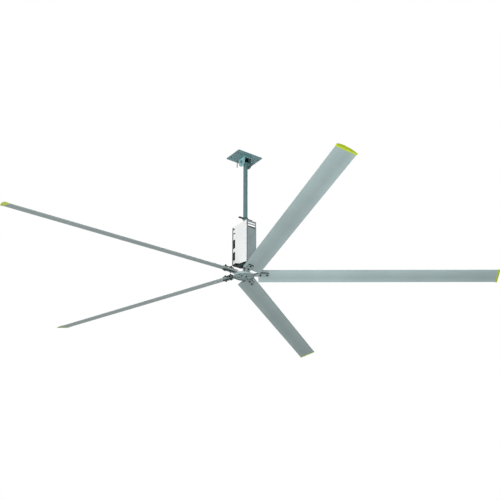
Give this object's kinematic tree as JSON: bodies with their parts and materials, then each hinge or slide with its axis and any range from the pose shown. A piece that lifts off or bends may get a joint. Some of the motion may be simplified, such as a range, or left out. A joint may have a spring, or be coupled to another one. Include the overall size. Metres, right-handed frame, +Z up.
{
  "type": "high volume low speed fan",
  "caption": "Large ceiling fan: long pitched hollow blades with bright end caps on a geared hub, under a tall drive box hung by a stem from a hinged ceiling plate.",
  "frame": {"origin": "middle of the ceiling plate's top face", "axes": "+Z up along the stem, -Y out of the white front cover, +X out of the windowed right side"},
  "size_m": [5.7692, 5.5079, 1.6315],
  "materials": {
    "hanger_paint": "satin grey-green powder coat",
    "stem_paint": "satin grey-green powder coat",
    "frame_paint": "satin dark grey powder coat",
    "side_paint": "satin blue-grey powder coat",
    "cover_paint": "smooth white powder coat",
    "zinc_steel": "zinc plated",
    "black_steel": "black oxide",
    "bush_bronze": "plain bearing bronze",
    "drive_casting": "cast",
    "circuit_board": "green laminate",
    "gland_plastic": "black nylon",
    "case_iron": "painted casting",
    "seal_rubber": "nitrile",
    "bearing_steel": "ground",
    "gear_steel": "machined",
    "core_steel": "laminated",
    "winding_copper": "enamelled copper",
    "hub_paint": "satin grey powder coat",
    "arm_steel": "satin grey powder coat",
    "blade_aluminium": "satin anodised extrusion",
    "cap_plastic": "moulded lime green"
  },
  "bodies": {
    "ceiling": {"ceiling_plate": "hanger_paint", "hanger_bracket": "hanger_paint", "bracket_screws": "zinc_steel", "pivot_bolt": "zinc_steel", "safety_stud": "zinc_steel"},
    "frame": {"stem": "stem_paint", "pivot_bushes": "bush_bronze", "guy_wire_bar": "stem_paint", "frame_top_plate": "frame_paint", "frame_bottom_plate": "frame_paint", "side_plate_right": "side_paint", "side_plate_left": "side_paint", "front_cover": "cover_paint", "rear_cover": "side_paint", "frame_bolts": "zinc_steel", "box_screws": "zinc_steel", "drive_housing": "drive_casting", "drive_board": "circuit_board", "cable_gland": "gland_plastic", "gearcase_lower": "case_iron", "gearcase_upper": "case_iron", "gearmotor_bolts": "zinc_steel", "oil_seal": "seal_rubber", "bearing_outer_rings": "bearing_steel", "motor_flange": "drive_casting", "motor_housing": "drive_casting", "motor_rear_cap": "drive_casting", "stator_core": "core_steel", "stator_windings": "winding_copper"},
    "rotor": {"output_shaft": "gear_steel", "output_gear": "gear_steel", "shaft_keys": "gear_steel", "output_bearing_rings": "bearing_steel", "hub_flange": "hub_paint", "hub_disc": "hub_paint", "hub_bolts": "zinc_steel", "hub_screws": "black_steel", "blade_bolts": "black_steel", "blade_clamp_straps": "black_steel", "blade_arm_1": "arm_steel", "blade_arm_2": "arm_steel", "blade_arm_3": "arm_steel", "blade_arm_4": "arm_steel", "blade_arm_5": "arm_steel", "blade_1": "blade_aluminium", "blade_2": "blade_aluminium", "blade_3": "blade_aluminium", "blade_4": "blade_aluminium", "blade_5": "blade_aluminium", "tip_cap_1": "cap_plastic", "tip_cap_2": "cap_plastic", "tip_cap_3": "cap_plastic", "tip_cap_4": "cap_plastic", "tip_cap_5": "cap_plastic"},
    "countershaft": {"countershaft": "gear_steel", "countershaft_gear": "gear_steel", "countershaft_bearing_rings": "bearing_steel"},
    "motor_rotor": {"motor_shaft": "gear_steel", "rotor_core": "core_steel", "motor_bearing_rings": "bearing_steel"}
  },
  "joints": [
    {"name": "stem_tilt", "type": "hinge", "parent": "ceiling", "child": "frame", "pos_m": [0, 0.017, -0.074], "axis": [0, 1, 0], "range_deg": [-10, 10]},
    {"name": "rotor_spin", "type": "hinge", "parent": "frame", "child": "rotor", "pos_m": [0, 0, -1.578], "axis": [0, 0, 1], "continuous": true},
    {"name": "countershaft_spin", "type": "hinge", "parent": "frame", "child": "countershaft", "pos_m": [0.0525, 0, -1.413], "axis": [0, 0, 1], "continuous": true},
    {"name": "motor_spin", "type": "hinge", "parent": "frame", "child": "motor_rotor", "pos_m": [0, 0, -1.278], "axis": [0, 0, 1], "continuous": true}
  ],
  "couplings": [
    {"joint": "countershaft_spin", "follows": "rotor_spin", "ratio": -2.5294},
    {"joint": "motor_spin", "follows": "rotor_spin", "ratio": 9.9689}
  ]
}
